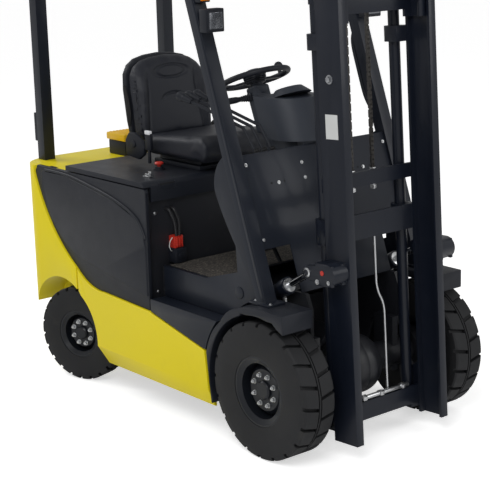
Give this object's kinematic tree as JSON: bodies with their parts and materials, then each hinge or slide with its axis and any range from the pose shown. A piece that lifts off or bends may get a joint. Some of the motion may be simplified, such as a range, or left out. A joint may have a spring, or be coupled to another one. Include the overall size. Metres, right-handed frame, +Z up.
{
  "type": "electric forklift",
  "caption": "Counterbalanced electric forklift with an overhead guard, steered rear wheels, and a tilting two-stage mast shown raised with its forks at the top.",
  "frame": {"origin": "on the floor, midway along the truck's overall length with the forks, on its middle plane", "axes": "+X towards the fork tips, +Y to the driver's left, +Z up"},
  "size_m": [3.1604, 1.1524, 4.5196],
  "materials": {
    "body_yellow": "smooth gloss paint",
    "black_paint": "satin black paint",
    "dark_panel": "fine-textured plastic",
    "bare_steel": "plain steel",
    "rod_chrome": "polished",
    "grey_steel": "grey paint",
    "rim_paint": "pale gloss paint",
    "tyre_rubber": "matt rubber",
    "seat_cover": "black seat vinyl",
    "lamp": "clear lens in a black case",
    "amber": "amber lens",
    "cast": "painted casting",
    "red_plastic": "moulded"
  },
  "bodies": {
    "chassis": {"battery": "grey_steel", "battery_cables": "dark_panel", "battery_plug": "red_plastic", "box_lid": "amber", "chassis_frame": "black_paint", "control_levers": "dark_panel", "counterweight": "cast", "cowl_panel": "dark_panel", "drive_axle": "grey_steel", "entry_steps": "black_paint", "floor_plate": "black_paint", "front_fenders": "black_paint", "front_lamps": "lamp", "instrument_pod": "dark_panel", "overhead_guard": "black_paint", "pedals": "dark_panel", "rear_lamps": "lamp", "side_panels": "black_paint", "side_plates": "black_paint", "side_skirts": "body_yellow", "steer_axle": "grey_steel", "steering_column": "dark_panel", "storage_box": "dark_panel", "tow_pin": "bare_steel"},
    "hood": {"hood": "body_yellow", "seat_base": "grey_steel", "seat_cushion": "seat_cover", "seat_backrest": "seat_cover"},
    "steering_wheel": {"steering_wheel": "dark_panel"},
    "knuckle_left": {"knuckle_left": "grey_steel"},
    "knuckle_right": {"knuckle_right": "grey_steel"},
    "mast_rails": {"outer_mast": "black_paint", "lift_cylinders": "black_paint", "lift_chains": "bare_steel", "mast_hoses": "dark_panel"},
    "mast_inner": {"inner_mast": "black_paint", "chain_sheaves": "grey_steel", "lift_rods": "rod_chrome"},
    "carriage": {"fork_carriage": "black_paint", "load_backrest": "black_paint", "forks": "bare_steel"},
    "tilt_barrel_left": {"tilt_barrel_left": "black_paint"},
    "tilt_barrel_right": {"tilt_barrel_right": "black_paint"},
    "tilt_rod_left": {"tilt_rod_left": "rod_chrome"},
    "tilt_rod_right": {"tilt_rod_right": "rod_chrome"},
    "front_wheel_left": {"front_tyre_left": "tyre_rubber", "front_rim_left": "rim_paint"},
    "front_wheel_right": {"front_tyre_right": "tyre_rubber", "front_rim_right": "rim_paint"},
    "rear_wheel_left": {"rear_tyre_left": "tyre_rubber", "rear_rim_left": "rim_paint"},
    "rear_wheel_right": {"rear_tyre_right": "tyre_rubber", "rear_rim_right": "rim_paint"}
  },
  "joints": [
    {"name": "front_left_spin", "type": "hinge", "parent": "chassis", "child": "front_wheel_left", "pos_m": [0.26985, 0.44, 0.294], "axis": [0, 1, 0], "continuous": true},
    {"name": "steer_left", "type": "hinge", "parent": "chassis", "child": "knuckle_left", "pos_m": [-1.15515, 0.372, 0.232], "axis": [0, 0, 1], "range_deg": [-73, 37]},
    {"name": "rear_left_spin", "type": "hinge", "parent": "knuckle_left", "child": "rear_wheel_left", "pos_m": [-1.18235, 0.45569, 0.232], "axis": [-0.309, 0.9511, 0], "continuous": true},
    {"name": "front_right_spin", "type": "hinge", "parent": "chassis", "child": "front_wheel_right", "pos_m": [0.26985, -0.44, 0.294], "axis": [0, 1, 0], "continuous": true},
    {"name": "steer_right", "type": "hinge", "parent": "chassis", "child": "knuckle_right", "pos_m": [-1.15515, -0.372, 0.232], "axis": [0, 0, 1], "range_deg": [-73, 37]},
    {"name": "rear_right_spin", "type": "hinge", "parent": "knuckle_right", "child": "rear_wheel_right", "pos_m": [-1.12796, -0.45569, 0.232], "axis": [-0.309, 0.9511, 0], "continuous": true},
    {"name": "steering_wheel_turn", "type": "hinge", "parent": "chassis", "child": "steering_wheel", "pos_m": [-0.33015, 0, 1.49], "axis": [-0.3601, 0, 0.9329], "continuous": true},
    {"name": "hood_lift", "type": "hinge", "parent": "chassis", "child": "hood", "pos_m": [-1.14215, 0, 1.01], "axis": [0, -1, 0], "range_deg": [0, 50]},
    {"name": "mast_tilt", "type": "hinge", "parent": "chassis", "child": "mast_rails", "pos_m": [0.36985, 0, 0.205], "axis": [0, 1, 0], "range_deg": [-7.15, 8.85]},
    {"name": "mast_lift", "type": "slide", "parent": "mast_rails", "child": "mast_inner", "axis": [-0.0497, 0, 0.9988], "range_m": [-1.7, 0], "deforming": ["lift_chains"]},
    {"name": "carriage_lift", "type": "slide", "parent": "mast_inner", "child": "carriage", "axis": [-0.0497, 0, 0.9988], "range_m": [-1.7, 0]},
    {"name": "tilt_barrel_left_swing", "type": "hinge", "parent": "chassis", "child": "tilt_barrel_left", "pos_m": [-0.03015, 0.315, 0.545], "axis": [0, 1, 0], "range_deg": [-5.2, 6]},
    {"name": "tilt_rod_left_stroke", "type": "slide", "parent": "tilt_barrel_left", "child": "tilt_rod_left", "axis": [0.8619, 0, 0.507], "range_m": [-0.065, 0.08]},
    {"name": "tilt_barrel_right_swing", "type": "hinge", "parent": "chassis", "child": "tilt_barrel_right", "pos_m": [-0.03015, -0.315, 0.545], "axis": [0, 1, 0], "range_deg": [-5.2, 6]},
    {"name": "tilt_rod_right_stroke", "type": "slide", "parent": "tilt_barrel_right", "child": "tilt_rod_right", "axis": [0.8619, 0, 0.507], "range_m": [-0.065, 0.08]}
  ],
  "couplings": [
    {"joint": "carriage_lift", "follows": "mast_lift", "ratio": 1},
    {"joint": "steer_right", "follows": "steer_left", "ratio": 1},
    {"joint": "tilt_barrel_left_swing", "follows": "mast_tilt", "ratio": 0.645},
    {"joint": "tilt_rod_left_stroke", "follows": "mast_tilt", "m_per_rad": 0.4945},
    {"joint": "tilt_barrel_right_swing", "follows": "mast_tilt", "ratio": 0.645},
    {"joint": "tilt_rod_right_stroke", "follows": "mast_tilt", "m_per_rad": 0.4945}
  ]
}
